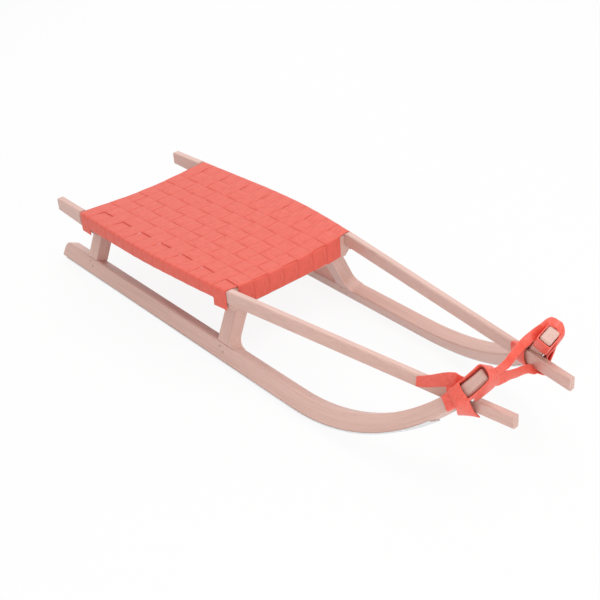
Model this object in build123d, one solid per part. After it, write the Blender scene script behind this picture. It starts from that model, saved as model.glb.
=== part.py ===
# A wooden snow sled with bent, leaning runners, a woven webbing seat and a strap at its horns.
# Millimetres. +X is forward, +Y is left, +Z is up. The sled stands on the inner edges of its steel shoes.
from build123d import *
import os
from math import acos, atan2, cos, degrees, radians, sin, sqrt, tan

# Overall sizes
SLED_LENGTH = 1172.0        # rear end of the rails to their tips
LEAN = 24.0                 # degrees that each runner and its legs lean inwards
TRACK_HALF = 149.0          # middle of the sled to the running edge of a shoe

# Runners, in the leaning plane: lengths along the sled and heights up the slant
RUNNER_THICK = 27.0
RUNNER_DEPTH = 33.0
RUNNER_TIP_DEPTH = 20.0
RUNNER_TAIL = 2.0           # rear end of the runner
TAIL_SLOPE = 5.0            # how far the tail's end leans forward at its top
TAIL_ROUND = 14.0
BEND_RADIUS = 404.0
HORN_ABOVE_RAIL = 53.4      # from the rail's top to the horn's end, up the slant
HORN_SETBACK = 40.0         # the horn's end behind the rails' tips
RUNNER_EDGE = 2.5
HORN_EDGE = 4.0

# Steel shoes under the runners
SHOE_THICK = 2.5
SHOE_WIDTH = 24.0
SHOE_TAIL = 16.0
SHOE_ANGLE = 44.0           # how far up the bend the shoe goes

# Rails: outer face and top, straight to the bend and straight from there to the tip
RAIL_WIDTH = 16.0
RAIL_TIP_WIDTH = 12.0
RAIL_HEIGHT = 33.0
RAIL_BEND_HEIGHT = 29.0
RAIL_TIP_HEIGHT = 24.0
RAIL_END_HEIGHT = 27.0      # the underside rises towards the rear end
RAIL_TAPER = 92.0
RAIL_BEND_X = 430.0
RAIL_BEND_RADIUS = 2000.0
RAIL_REAR_SPREAD = 7.9      # outside the running edge
RAIL_BEND_SPREAD = 19.9
RAIL_REAR_Z = 141.2
RAIL_BEND_Z = 156.2
RAIL_TIP_Z = 157.5
RAIL_NOTCH = 1.2            # how deep a rail sits in the runner where they cross
RAIL_EDGE = 2.0

# Trestles: a crossbeam under the rails and two leaning legs
BEAM_DEPTH = 30.0           # along the sled
REAR_BEAM_X = 98.0
FRONT_BEAM_X = 548.0
REAR_BEAM_BOTTOM = 96.0
FRONT_BEAM_BOTTOM = 107.0
BEAM_END_INSET = 3.0        # beam's end behind the rail's outer face
BEAM_CORNER = 10.0
BEAM_HOUSING = 3.0          # how deep the rail sits in the beam
BEAM_EDGE = 3.0             # bevel of the beam's hollowed top, under the folds
TENON_THICK = 9.0
TENON_WIDTH = 20.0
FOOT_TENON = 20.0
HEAD_TENON = 17.0
LEG_FLARE = 20.0            # sweep at the front of a front leg's foot
FIT_GAP = 0.2               # clearance of glued joints
PIN_RADIUS = 2.5
PIN_GAP = 0.1
PIN_PROUD = 0.4             # how far a dowel stands out of the runner
PIN_PLACES = [(9.0, 9.0), (21.0, 16.0)]   # from the leg's rear face, and down from the runner's top

# Woven seat
CROSS_BANDS = 14
LONG_BANDS = 7
SEAT_MARGIN = 22.0          # from a rail to the first lengthwise band
SEAT_OVERHANG = 0.8         # ends of the weave outside the trestles
WEAVE_SLOT = 3.0            # room between neighbouring bands
BAND_THICK = 1.8
BAND_GAP = 0.3              # between two bands, and between a band and the wood
SEAT_SAG = 8.0
REBATE_TOP = 2.4            # wood taken off the rails under the webbing
REBATE_SIDE = 1.2
REBATE_BOTTOM = 2.2
REBATE_MARGIN = 4.0
FOLD_GAP = 1.2              # between a fold and the beam's face
FOLD_CORNER = 2.0
FLAP_END = 8.0              # end of a side flap above the beam's underside

# Straps at the horns
STRAP_THICK = 3.0
STRAP_WIDTH = 22.0
STRAP_GAP = 0.4
TOW_SETBACK = 29.0          # middle of the tow strap, along the bend from the horn's end
HOOD_LIFT = 17.0            # from the rail's top to the lower ends of a hood

# The leaning plane of the left side: x along the sled, y up the slant, and z inwards
SHOE_INNER = SHOE_WIDTH / 2
LEAN_SIN = sin(radians(LEAN))
LEAN_COS = cos(radians(LEAN))
PLANE_Z = SHOE_THICK * LEAN_COS + SHOE_INNER * LEAN_SIN
PLANE_Y = TRACK_HALF - SHOE_THICK * LEAN_SIN + SHOE_INNER * LEAN_COS
SIDE = Plane(origin=(0, PLANE_Y, PLANE_Z), x_dir=(1, 0, 0), z_dir=(0, -LEAN_COS, -LEAN_SIN))

# The runner's bend, from the horn's place
HORN_RISE = (RAIL_TIP_Z - PLANE_Z) / LEAN_COS + HORN_ABOVE_RAIL
BEND_ANGLE = degrees(acos(1 - HORN_RISE / BEND_RADIUS))
BEND_START = SLED_LENGTH - HORN_SETBACK - BEND_RADIUS * sin(radians(BEND_ANGLE))
TOW_ANGLE = BEND_ANGLE - degrees(TOW_SETBACK / BEND_RADIUS)

# The crossing of rail and runner, at the rail's middle height, and the rail's line through it
CROSSING_RISE = (RAIL_TIP_Z - RAIL_TIP_HEIGHT / 2 - PLANE_Z) / LEAN_COS
CROSSING_REACH = BEND_RADIUS - (RUNNER_DEPTH + RUNNER_TIP_DEPTH) / 4
CROSSING_ANGLE = degrees(acos((BEND_RADIUS - CROSSING_RISE) / CROSSING_REACH))
CROSSING_X = BEND_START + CROSSING_REACH * sin(radians(CROSSING_ANGLE))
CROSSING_Y = PLANE_Y - CROSSING_RISE * LEAN_SIN - RUNNER_THICK / 2 / LEAN_COS + RAIL_NOTCH
RAIL_REAR_Y = TRACK_HALF + RAIL_REAR_SPREAD
RAIL_BEND_Y = TRACK_HALF + RAIL_BEND_SPREAD
RAIL_SLOPE = (CROSSING_Y - RAIL_BEND_Y) / (CROSSING_X - RAIL_BEND_X)
RAIL_TIP_Y = RAIL_BEND_Y + RAIL_SLOPE * (SLED_LENGTH - RAIL_BEND_X)
RAIL_BEND_WIDTH = RAIL_WIDTH + (RAIL_TIP_WIDTH - RAIL_WIDTH) * RAIL_BEND_X / SLED_LENGTH

SEAT_REAR = REAR_BEAM_X - SEAT_OVERHANG
SEAT_FRONT = FRONT_BEAM_X + BEAM_DEPTH + SEAT_OVERHANG
CROSS_PITCH = (SEAT_FRONT - SEAT_REAR) / CROSS_BANDS
REBATE_START = SEAT_REAR - REBATE_MARGIN
REBATE_END = SEAT_FRONT + REBATE_MARGIN
BIG = 2 * SLED_LENGTH       # reach of cutting solids
NEAR = SLED_LENGTH / 8      # reach of the look for wood under a strap


# Lines of a rail: their values at the rear end, at the bend and at the tip
OUTER_LINE = (RAIL_REAR_Y, RAIL_BEND_Y, RAIL_TIP_Y)
INNER_LINE = (RAIL_REAR_Y - RAIL_WIDTH, RAIL_BEND_Y - RAIL_BEND_WIDTH, RAIL_TIP_Y - RAIL_TIP_WIDTH)
TOP_LINE = (RAIL_REAR_Z, RAIL_BEND_Z, RAIL_TIP_Z)
UNDER_LINE = (RAIL_REAR_Z - RAIL_HEIGHT, RAIL_BEND_Z - RAIL_BEND_HEIGHT, RAIL_TIP_Z - RAIL_TIP_HEIGHT)


def rail_at(line, x):
    """A line of the rail at a place along it, with the arc of its bend."""
    rear, bend, tip = line
    before = atan2(bend - rear, RAIL_BEND_X)
    after = atan2(tip - bend, SLED_LENGTH - RAIL_BEND_X)
    reach = RAIL_BEND_RADIUS * tan(abs(after - before) / 2)
    start = RAIL_BEND_X - reach * cos(before)
    if x < start:
        return bend + (x - RAIL_BEND_X) * tan(before)
    if x > RAIL_BEND_X + reach * cos(after):
        return bend + (x - RAIL_BEND_X) * tan(after)
    hand = 1 if after > before else -1
    from_centre = x - start + hand * RAIL_BEND_RADIUS * sin(before)
    centre = bend - reach * sin(before) + hand * RAIL_BEND_RADIUS * cos(before)
    return centre - hand * sqrt(RAIL_BEND_RADIUS ** 2 - from_centre ** 2)


LONG_PITCH = 2 * (rail_at(INNER_LINE, SEAT_REAR) - SEAT_MARGIN) / LONG_BANDS


def bend_point(angle, rise=0.0):
    """A point of the runner's bend, raised from its underside towards the bend's centre."""
    reach = BEND_RADIUS - rise
    return (BEND_START + reach * sin(radians(angle)), BEND_RADIUS - reach * cos(radians(angle)))


def depth_at(angle):
    """Depth of the runner at a place of its bend."""
    return RUNNER_DEPTH + (RUNNER_TIP_DEPTH - RUNNER_DEPTH) * angle / BEND_ANGLE


def in_side_plane(sketch, thickness, middle=0.0):
    """A sketch of the side view, given a thickness about a plane inside the leaning plane."""
    return extrude(SIDE.offset(middle) * sketch, thickness / 2, both=True)


def mirrored(solid):
    return mirror(solid, about=Plane.XZ)


# Runner: straight, with a rounded tail and a tapering upward bend
def runner_outline():
    tip_low = bend_point(BEND_ANGLE)
    tip_high = bend_point(BEND_ANGLE, RUNNER_TIP_DEPTH)
    tail_high = (RUNNER_TAIL + TAIL_SLOPE, RUNNER_DEPTH)
    with BuildSketch() as outline:
        with BuildLine():
            Polyline([(BEND_START, RUNNER_DEPTH), tail_high, (RUNNER_TAIL, 0), (BEND_START, 0)])
            TangentArc((BEND_START, 0), tip_low, tangent=(1, 0))
            Line(tip_low, tip_high)
            TangentArc((BEND_START, RUNNER_DEPTH), tip_high, tangent=(1, 0))
        make_face()
        fillet(outline.vertices().sort_by_distance(tail_high)[0], TAIL_ROUND)
        horn = [outline.vertices().sort_by_distance(corner)[0] for corner in (tip_high, tip_low)]
        fillet(horn, HORN_EDGE)
    return outline.sketch


def runner_blank(extra=0.0):
    outline = runner_outline()
    if extra:
        outline = offset(outline, extra)
    return in_side_plane(outline, RUNNER_THICK + 2 * extra)


def long_edges(solid):
    """Edges of a side-plane solid that run round its outline."""
    return solid.edges().filter_by(lambda edge: abs((edge % 0.5).dot(SIDE.z_dir)) < 0.5)


def shoe_left():
    heel = (SHOE_TAIL, 0)
    toe = bend_point(SHOE_ANGLE)
    heel_low = (SHOE_TAIL, -SHOE_THICK)
    toe_low = bend_point(SHOE_ANGLE, -SHOE_THICK)
    with BuildSketch() as strip:
        with BuildLine():
            Line(heel, (BEND_START, 0))
            TangentArc((BEND_START, 0), toe, tangent=(1, 0))
            Line(toe, toe_low)
            TangentArc((BEND_START, -SHOE_THICK), toe_low, tangent=(1, 0))
            Polyline([(BEND_START, -SHOE_THICK), heel_low, heel])
        make_face()
    return in_side_plane(strip.sketch, SHOE_WIDTH)


# Rail: a plan and a side view, each with its bend, cut out of one another
def rail_corners(line, shift, grow):
    """The corners of one line of the rail, from the rear to the tip, before its bend is rounded."""
    ends = [(x, rail_at(line, x) + shift) for x in (-grow, SLED_LENGTH + grow)]
    return [ends[0], (RAIL_BEND_X, line[1] + shift), ends[1]]


def rounded_bends(sketch):
    bends = sketch.vertices().filter_by(lambda v: abs(v.X - RAIL_BEND_X) < 1)
    return fillet(bends, RAIL_BEND_RADIUS)


def rail_shape(side_cut=0.0, top_cut=0.0, bottom_cut=0.0, grow=0.0):
    outer = rail_corners(OUTER_LINE, grow - side_cut, grow)
    inner = rail_corners(INNER_LINE, -grow, grow)
    with BuildSketch() as plan:
        Polygon(*outer, *inner[::-1], align=None)
        rounded_bends(plan)
    top = rail_corners(TOP_LINE, grow - top_cut, grow)
    under = rail_corners(UNDER_LINE, bottom_cut - grow, grow)
    heel = [(RAIL_TAPER, rail_at(UNDER_LINE, RAIL_TAPER) + bottom_cut - grow)]
    heel += [(-grow, RAIL_REAR_Z - RAIL_END_HEIGHT + bottom_cut - grow)]
    with BuildSketch(Plane.XZ) as view:
        Polygon(*top, *under[:0:-1], *heel, align=None)
        rounded_bends(view)
    return extrude(plan.sketch, BIG) & extrude(view.sketch, BIG / 2, both=True)


def seat_zone():
    return Pos((REBATE_START + REBATE_END) / 2, 0, 0) * Box(REBATE_END - REBATE_START, BIG, BIG)


def rail_core(grow=0.0):
    """The rail as it is under the webbing."""
    return rail_shape(REBATE_SIDE, REBATE_TOP, REBATE_BOTTOM, grow)


def rail_left(runner_room):
    whole = rail_shape()
    rims = whole.edges().filter_by(lambda edge: abs((edge % 0.5).X) > 0.9)
    whole = chamfer(rims, RAIL_EDGE)
    under_webbing = rail_core() & seat_zone()
    return (whole - seat_zone() + under_webbing) - runner_room


# Trestles
def seat_base(x, y):
    """Middle of the weave: the rails' height under the webbing, less the sag between them."""
    edge = rail_at(INNER_LINE, x)
    height = rail_at(TOP_LINE, x) - REBATE_TOP + BAND_GAP + BAND_THICK / 2
    return height - SEAT_SAG * (1 - (y / edge) ** 2)


WEAVE_LIFT = (BAND_THICK + BAND_GAP) / 2


def beam_blank(x, bottom, rail_room):
    front = x + BEAM_DEPTH
    end = min(rail_at(OUTER_LINE, x), rail_at(OUTER_LINE, front)) - REBATE_SIDE - BEAM_END_INSET
    shoulder = rail_at(INNER_LINE, x)
    floor = rail_at(UNDER_LINE, x) + REBATE_BOTTOM + BEAM_HOUSING
    room = WEAVE_LIFT + BAND_THICK / 2 + BAND_GAP
    crown = seat_base(x, shoulder) - room
    hollow = seat_base(x, 0) - room
    with BuildSketch(Plane.YZ) as view:
        with BuildLine():
            ThreePointArc((-shoulder, crown), (0, hollow), (shoulder, crown))
            for hand in (-1, 1):
                rim = [(shoulder, crown), (shoulder, floor), (end, floor), (end, bottom + BEAM_CORNER)]
                rim += [(end - BEAM_CORNER, bottom), (0, bottom)]
                Polyline([(hand * y, z) for y, z in rim])
        make_face()
    blank = Pos(x, 0, 0) * extrude(view.sketch, BEAM_DEPTH)
    blank = chamfer(blank.edges().filter_by(GeomType.CIRCLE), BEAM_EDGE)
    return blank - rail_room - mirrored(rail_room)


def leg_outline(x, flare):
    front = x + BEAM_DEPTH
    foot = RUNNER_DEPTH
    top = BIG / 8
    with BuildSketch() as outline:
        with BuildLine():
            if flare:
                Polyline([(front, foot + flare), (front, top), (x, top), (x, foot), (front + flare, foot)])
                RadiusArc((front + flare, foot), (front, foot + flare), flare)
            else:
                Polyline([(x, foot), (front, foot), (front, top), (x, top)], close=True)
        make_face()
    return outline.sketch


def tenon(x, low, high, extra=0.0):
    """A tenon of a leg, between two heights up the slant, or its mortise."""
    middle = x + BEAM_DEPTH / 2
    block = Pos(middle, (low + high) / 2) * Rectangle(TENON_WIDTH + 2 * extra, high - low)
    return in_side_plane(block, TENON_THICK + 2 * extra)


def slant_of(height):
    """Height up the slant, at the middle of the leaning plane, of a level above the ground."""
    return (height - PLANE_Z) / LEAN_COS


def below(height):
    return Pos(0, 0, height - BIG / 2) * Box(BIG, BIG, BIG)


def leg_left(x, beam_bottom, flare):
    shank = in_side_plane(leg_outline(x, flare), RUNNER_THICK) & below(beam_bottom)
    foot = tenon(x, RUNNER_DEPTH - FOOT_TENON, RUNNER_DEPTH + FOOT_TENON)
    head_low = slant_of(beam_bottom) - HEAD_TENON
    head = tenon(x, head_low, slant_of(beam_bottom) + HEAD_TENON)
    return shank + foot + head


def foot_mortise(x):
    return tenon(x, RUNNER_DEPTH - FOOT_TENON - FIT_GAP, RUNNER_DEPTH + FIT_GAP, FIT_GAP)


def head_mortise(x, beam_bottom):
    middle = slant_of(beam_bottom)
    return tenon(x, middle - HEAD_TENON, middle + HEAD_TENON + FIT_GAP, FIT_GAP)


def pins_left(x, extra=0.0):
    """Dowels through the runner and the foot of a leg."""
    dowels = []
    for along, down in PIN_PLACES:
        spot = Pos(x + along, RUNNER_DEPTH - down) * Circle(PIN_RADIUS + extra)
        dowels.append(in_side_plane(spot, RUNNER_THICK + 2 * PIN_PROUD))
    return dowels


# Webbing
def thickened(points):
    """A closed outline at half a band's thickness on both sides of a line of points."""
    half = BAND_THICK / 2
    left = []
    right = []
    last = len(points) - 1
    for index, (u, v) in enumerate(points):
        before = points[max(index - 1, 0)]
        after = points[min(index + 1, last)]
        into = atan2(v - before[1], u - before[0]) if index else None
        out = atan2(after[1] - v, after[0] - u) if index < last else into
        into = out if into is None else into
        turn = (out - into + radians(180)) % radians(360) - radians(180)
        heading = into + turn / 2
        reach = half / cos(turn / 2)
        left.append((u - reach * sin(heading), v + reach * cos(heading)))
        right.append((u + reach * sin(heading), v - reach * cos(heading)))
    return left + right[::-1]


def band_between(first, second):
    """A band whose two selvedges are the given outlines in space."""
    return Solid.make_loft([Wire.make_polygon(first), Wire.make_polygon(second)], ruled=True)


def long_edges_of(number):
    middle = (number - (LONG_BANDS - 1) / 2) * LONG_PITCH
    half = (LONG_PITCH - WEAVE_SLOT) / 2
    return middle - half, middle + half


def cross_edges_of(number):
    rear = SEAT_REAR + number * CROSS_PITCH + WEAVE_SLOT / 2
    return rear, rear + CROSS_PITCH - WEAVE_SLOT


def cross_over(cross, long):
    return (cross + long) % 2 == 0


def cross_line(number, x, flap_to):
    """The line of a cross band at one of its selvedges, from one rail to the other."""
    off = BAND_GAP + BAND_THICK / 2
    side = rail_at(OUTER_LINE, x) - REBATE_SIDE + off
    inner = rail_at(INNER_LINE, x)
    top = rail_at(TOP_LINE, x) - REBATE_TOP + off
    under = rail_at(UNDER_LINE, x) + REBATE_BOTTOM - off
    points = []
    if flap_to:
        points += [(-side, flap_to + FLAP_END)]
    else:
        points += [(-inner - REBATE_SIDE, under), (-side, under)]
    points += [(-side, top), (-inner, top)]
    for long in range(LONG_BANDS):
        lift = WEAVE_LIFT if cross_over(number, long) else -WEAVE_LIFT
        points += [(y, seat_base(x, y) + lift) for y in long_edges_of(long)]
    points += [(inner, top), (side, top)]
    if flap_to:
        points += [(side, flap_to + FLAP_END)]
    else:
        points += [(side, under), (inner + REBATE_SIDE, under)]
    return [(x, y, z) for y, z in thickened(points)]


def cross_band(number):
    rear, front = cross_edges_of(number)
    flap_to = None
    for beam_x, bottom in ((REAR_BEAM_X, REAR_BEAM_BOTTOM), (FRONT_BEAM_X, FRONT_BEAM_BOTTOM)):
        if rear < beam_x + BEAM_DEPTH and front > beam_x:
            flap_to = bottom
    return band_between(cross_line(number, rear, flap_to), cross_line(number, front, flap_to))


def long_line(number, y):
    """The line of a lengthwise band at one of its selvedges, from the rear fold to the front one."""
    off = FOLD_GAP + BAND_THICK / 2
    rear_face = REAR_BEAM_X - off
    front_face = FRONT_BEAM_X + BEAM_DEPTH + off
    first_lift = -WEAVE_LIFT if cross_over(0, number) else WEAVE_LIFT
    last_lift = -WEAVE_LIFT if cross_over(CROSS_BANDS - 1, number) else WEAVE_LIFT
    rear_top = seat_base(rear_face, y) + first_lift
    front_top = seat_base(front_face, y) + last_lift
    points = [(rear_face, REAR_BEAM_BOTTOM + FOLD_CORNER), (rear_face, rear_top - FOLD_CORNER)]
    points += [(rear_face + FOLD_CORNER, rear_top)]
    for cross in range(CROSS_BANDS):
        lift = -WEAVE_LIFT if cross_over(cross, number) else WEAVE_LIFT
        points += [(x, seat_base(x, y) + lift) for x in cross_edges_of(cross)]
    points += [(front_face - FOLD_CORNER, front_top), (front_face, front_top - FOLD_CORNER)]
    points += [(front_face, FRONT_BEAM_BOTTOM + FOLD_CORNER)]
    return [(x, y, z) for x, z in thickened(points)]


def long_band(number):
    left, right = long_edges_of(number)
    return band_between(long_line(number, left), long_line(number, right))


# Straps
def across_crossing():
    """A plane across the left crossing, half-way between runner and rail: x outwards, y upwards."""
    spot = bend_point(CROSSING_ANGLE, depth_at(CROSSING_ANGLE) / 2)
    origin = SIDE.from_local_coords(Vector(spot[0], spot[1], 0))
    tilt = radians(CROSSING_ANGLE / 2)
    along = SIDE.x_dir * cos(tilt) + SIDE.y_dir * sin(tilt)
    return Plane(origin=origin, x_dir=-SIDE.z_dir, z_dir=along)


def lashing_left(room):
    """A turn of strap drawn tight round the runner and the rail."""
    place = across_crossing()
    edges = []
    for shift in (-STRAP_WIDTH / 2, STRAP_WIDTH / 2):
        cut = place.offset(shift)
        wood = room & (cut * Rectangle(NEAR, NEAR))
        edges += cut.to_local_coords(wood).edges()
    opening = make_hull(edges)
    rim = offset(opening, STRAP_THICK)
    return extrude(place * (rim - opening), STRAP_WIDTH / 2, both=True) - room


def hood_left():
    """The strap's end, up the front of the horn, over its end and down the back."""
    outline = runner_outline()
    strip = offset(outline, STRAP_GAP + STRAP_THICK) - offset(outline, STRAP_GAP)
    return in_side_plane(strip, STRAP_WIDTH) - below(RAIL_TIP_Z + HOOD_LIFT)


def tow_strap(room):
    """The strap from horn to horn, with a hood on each."""
    hood = hood_left()
    spot = bend_point(TOW_ANGLE, depth_at(TOW_ANGLE) / 2)
    middle = SIDE.from_local_coords(Vector(spot[0], spot[1], 0))
    rise = atan2(sin(radians(TOW_ANGLE)) * LEAN_COS, cos(radians(TOW_ANGLE)))
    broad = depth_at(TOW_ANGLE) + 2 * (STRAP_GAP + STRAP_THICK)
    across = Box(STRAP_THICK, 2 * middle.Y, broad)
    span = Pos(middle.X, 0, middle.Z) * Rot(0, -degrees(rise), 0) * across
    return hood + mirrored(hood) + span - room - mirrored(room)


def nodes():
    shapes = {}
    runner_room = runner_blank(FIT_GAP)
    rail = rail_left(runner_room)
    runner = chamfer(long_edges(runner_blank()), RUNNER_EDGE)
    rail_room = rail_core(FIT_GAP)
    trestles = [("rear", REAR_BEAM_X, REAR_BEAM_BOTTOM, 0.0)]
    trestles += [("front", FRONT_BEAM_X, FRONT_BEAM_BOTTOM, LEG_FLARE)]
    for place, x, bottom, flare in trestles:
        leg = leg_left(x, bottom, flare)
        runner -= foot_mortise(x)
        mortise = head_mortise(x, bottom)
        shapes[place + "_beam"] = beam_blank(x, bottom, rail_room) - mortise - mirrored(mortise)
        for hole in pins_left(x, PIN_GAP):
            leg -= hole
            runner -= hole
        shapes[place + "_leg_left"] = leg
        shapes[place + "_pins_left"] = Compound(children=pins_left(x))
    shapes["runner_left"] = runner
    shapes["shoe_left"] = shoe_left()
    shapes["rail_left"] = rail
    strap_room = runner_blank(STRAP_GAP) + rail_shape(grow=STRAP_GAP)
    shapes["lashing_left"] = lashing_left(strap_room)
    for name in [key for key in shapes if key.endswith("_left")]:
        shapes[name.replace("_left", "_right")] = mirrored(shapes[name])
    shapes["tow_strap"] = tow_strap(strap_room)
    for number in range(CROSS_BANDS):
        shapes["cross_band_%02d" % (number + 1)] = cross_band(number)
    for number in range(LONG_BANDS):
        shapes["long_band_%d" % (number + 1)] = long_band(number)
    return shapes


os.makedirs("parts", exist_ok=True)
for name, shape in nodes().items():
    export_step(Pos(-SLED_LENGTH / 2, 0, 0) * shape, "parts/" + name + ".step")
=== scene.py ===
# %% [markdown]
# A wooden snow sled, dressed for a studio picture.
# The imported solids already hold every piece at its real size. This lesson adds what a solid lacks:
# the camera, the light, the grain of the wood, the woven seat and the soft straps at the horns.

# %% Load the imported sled
import bpy
from math import atan2, cos, pi, radians, sin, sqrt, tan
from mathutils import Matrix, Vector


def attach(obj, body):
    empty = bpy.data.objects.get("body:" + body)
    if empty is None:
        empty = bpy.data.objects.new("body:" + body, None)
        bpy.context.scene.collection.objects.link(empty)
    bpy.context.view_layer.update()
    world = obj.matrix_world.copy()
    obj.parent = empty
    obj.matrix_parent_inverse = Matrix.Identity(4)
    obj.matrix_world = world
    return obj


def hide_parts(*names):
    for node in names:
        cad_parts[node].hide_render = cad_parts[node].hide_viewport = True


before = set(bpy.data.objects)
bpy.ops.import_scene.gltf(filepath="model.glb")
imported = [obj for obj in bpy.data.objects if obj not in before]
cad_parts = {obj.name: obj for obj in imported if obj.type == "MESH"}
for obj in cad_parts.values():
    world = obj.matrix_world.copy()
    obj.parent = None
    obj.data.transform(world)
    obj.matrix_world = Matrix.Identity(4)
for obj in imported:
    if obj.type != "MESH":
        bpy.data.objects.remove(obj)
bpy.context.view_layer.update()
scene = bpy.context.scene
print("pieces in the frame:", len(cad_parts))

# %% [markdown]
# The camera comes first, because every later look is judged through it. It stands ahead of the sled and
# to its right, about two metres away, and looks down on the seat. It could be placed by eye, but a
# direction, a distance and a target can each be corrected alone. A long lens keeps the rails nearly
# parallel, and the picture is turned a little about the line of sight.

# %% Camera
VIEW_AZIMUTH = radians(52.17)
VIEW_ELEVATION = radians(32.08)
VIEW_ROLL = radians(-4.73)
VIEW_DISTANCE = 2.0892
VIEW_TARGET = Vector((0.0563, -0.0337, 0.1118))
SENSOR = 36.0
LENS = 69.63


def make_camera():
    back = Vector((sin(VIEW_AZIMUTH) * cos(VIEW_ELEVATION),
                   -cos(VIEW_AZIMUTH) * cos(VIEW_ELEVATION), sin(VIEW_ELEVATION)))
    right = Vector((cos(VIEW_AZIMUTH), sin(VIEW_AZIMUTH), 0))
    up = back.cross(right)
    turned_right = cos(VIEW_ROLL) * right + sin(VIEW_ROLL) * up
    turned_up = -sin(VIEW_ROLL) * right + cos(VIEW_ROLL) * up
    data = bpy.data.cameras.new("photo_camera")
    data.sensor_width = SENSOR
    data.lens = LENS
    camera = bpy.data.objects.new("photo_camera", data)
    turn = Matrix((turned_right, turned_up, back)).transposed().to_4x4()
    camera.matrix_world = Matrix.Translation(VIEW_TARGET + back * VIEW_DISTANCE) @ turn
    scene.collection.objects.link(camera)
    scene.camera = camera
    return camera


print("camera at", [round(v, 3) for v in make_camera().matrix_world.translation])

# %% [markdown]
# Materials and swept shapes are both graphs of nodes. Written out in full, every node would take four or
# five lines, so a few helpers add a node and link its inputs in one line.

# %% Helpers for nodes
def add_node(tree, kind, values=None, **settings):
    """A node with its settings, whose inputs take either a constant or another node's output."""
    node = tree.nodes.new(kind)
    for key, value in settings.items():
        setattr(node, key, value)
    for key, value in (values or {}).items():
        if isinstance(value, bpy.types.NodeSocket):
            tree.links.new(value, node.inputs[key])
        else:
            node.inputs[key].default_value = value
    return node


def result_of(tree, kind, values=None, **settings):
    """The first output of a new node."""
    return add_node(tree, kind, values, **settings).outputs[0]


def math_node(tree, operation, first, second=0.0):
    return result_of(tree, "ShaderNodeMath", {0: first, 1: second}, operation=operation)


def brought_to(tree, share, low, high, start=0.0, full=1.0):
    """A share between start and full, brought onto the range from low to high."""
    values = {"Value": share, "From Min": start, "From Max": full, "To Min": low, "To Max": high}
    return result_of(tree, "ShaderNodeMapRange", values)


print("helpers for nodes are ready")

# %% [markdown]
# A finish needs a place to draw on, a pattern, colours for the pattern and a little relief. The constant
# values of a finish go straight onto the shader's own sockets, where every renderer can read them.

# %% Helpers for finishes
MIX_FIRST = 6
MIX_SECOND = 7
MIX_RESULT = 2


def new_material(name, **constants):
    material = bpy.data.materials.new(name)
    material.use_nodes = True
    shader = material.node_tree.nodes["Principled BSDF"]
    for socket, value in constants.items():
        shader.inputs[socket.replace("_", " ")].default_value = value
    return material, material.node_tree, shader


def object_place(tree):
    """Places in metres in the sled's own frame."""
    return add_node(tree, "ShaderNodeTexCoord").outputs["Object"]


def stretched(tree, place, scale):
    return result_of(tree, "ShaderNodeMapping", {"Vector": place, "Scale": scale})


def noise(tree, place, detail, scale=1.0, **more):
    """Soft random shades from 0 to 1."""
    values = {"Vector": place, "Scale": scale, "Detail": detail, **more}
    return add_node(tree, "ShaderNodeTexNoise", values).outputs["Fac"]


def ramp(tree, factor, stops):
    """A colour ramp from a row of places and colours."""
    node = add_node(tree, "ShaderNodeValToRGB", {"Fac": factor})
    for _ in range(len(stops) - 2):
        node.color_ramp.elements.new(0.5)
    for element, (place, colour) in zip(node.color_ramp.elements, stops):
        element.position = place
        element.color = (*colour, 1)
    return node.outputs["Color"]


def mixed_colour(tree, share, first, second):
    """A colour that gives way to another. A mix node has sockets for every kind, so they go by number."""
    values = {"Factor": share, MIX_FIRST: first, MIX_SECOND: (*second, 1)}
    return add_node(tree, "ShaderNodeMix", values, data_type="RGBA").outputs[MIX_RESULT]


def relief(tree, shader, height, strength, distance):
    values = {"Height": height, "Strength": strength, "Distance": distance}
    tree.links.new(result_of(tree, "ShaderNodeBump", values), shader.inputs["Normal"])


print("helpers for finishes are ready")

# %% [markdown]
# The sled is pale varnished hardwood. Its grain runs along each stick, so the pattern is long in that
# direction and fine across it. A photograph of wood could be wrapped on, but it would stretch and show
# seams, so the grain is drawn from three noises: fine streaks, broad bands and short dark flecks.

# %% Grain of the wood
WOOD_LIGHT = (0.71, 0.46, 0.395)
WOOD_MIDDLE = (0.65, 0.405, 0.342)
WOOD_DARK = (0.56, 0.33, 0.27)
WOOD_SHADES = ((0.30, WOOD_DARK), (0.48, WOOD_MIDDLE), (0.68, WOOD_LIGHT))
WOOD_ROUGHNESS = (0.40, 0.56)
STREAKS = (7.0, 260.0, 260.0)
STREAK_DETAIL = 5.0
STREAK_WANDER = {"Roughness": 0.62, "Distortion": 0.35}
STREAK_SHARE = 0.62
BROAD_BANDS = (2.2, 34.0, 34.0)
BROAD_DETAIL = 2.0
FLECK = (0.46, 0.26, 0.21)
FLECKS = (90.0, 620.0, 620.0)
FLECK_DETAIL = 1.0
FLECK_START = 0.66
FLECK_FULL = 0.80
FLECK_SHARE = 0.55
GRAIN_STRENGTH = 0.12
GRAIN_HEIGHT = 0.0006


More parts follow.
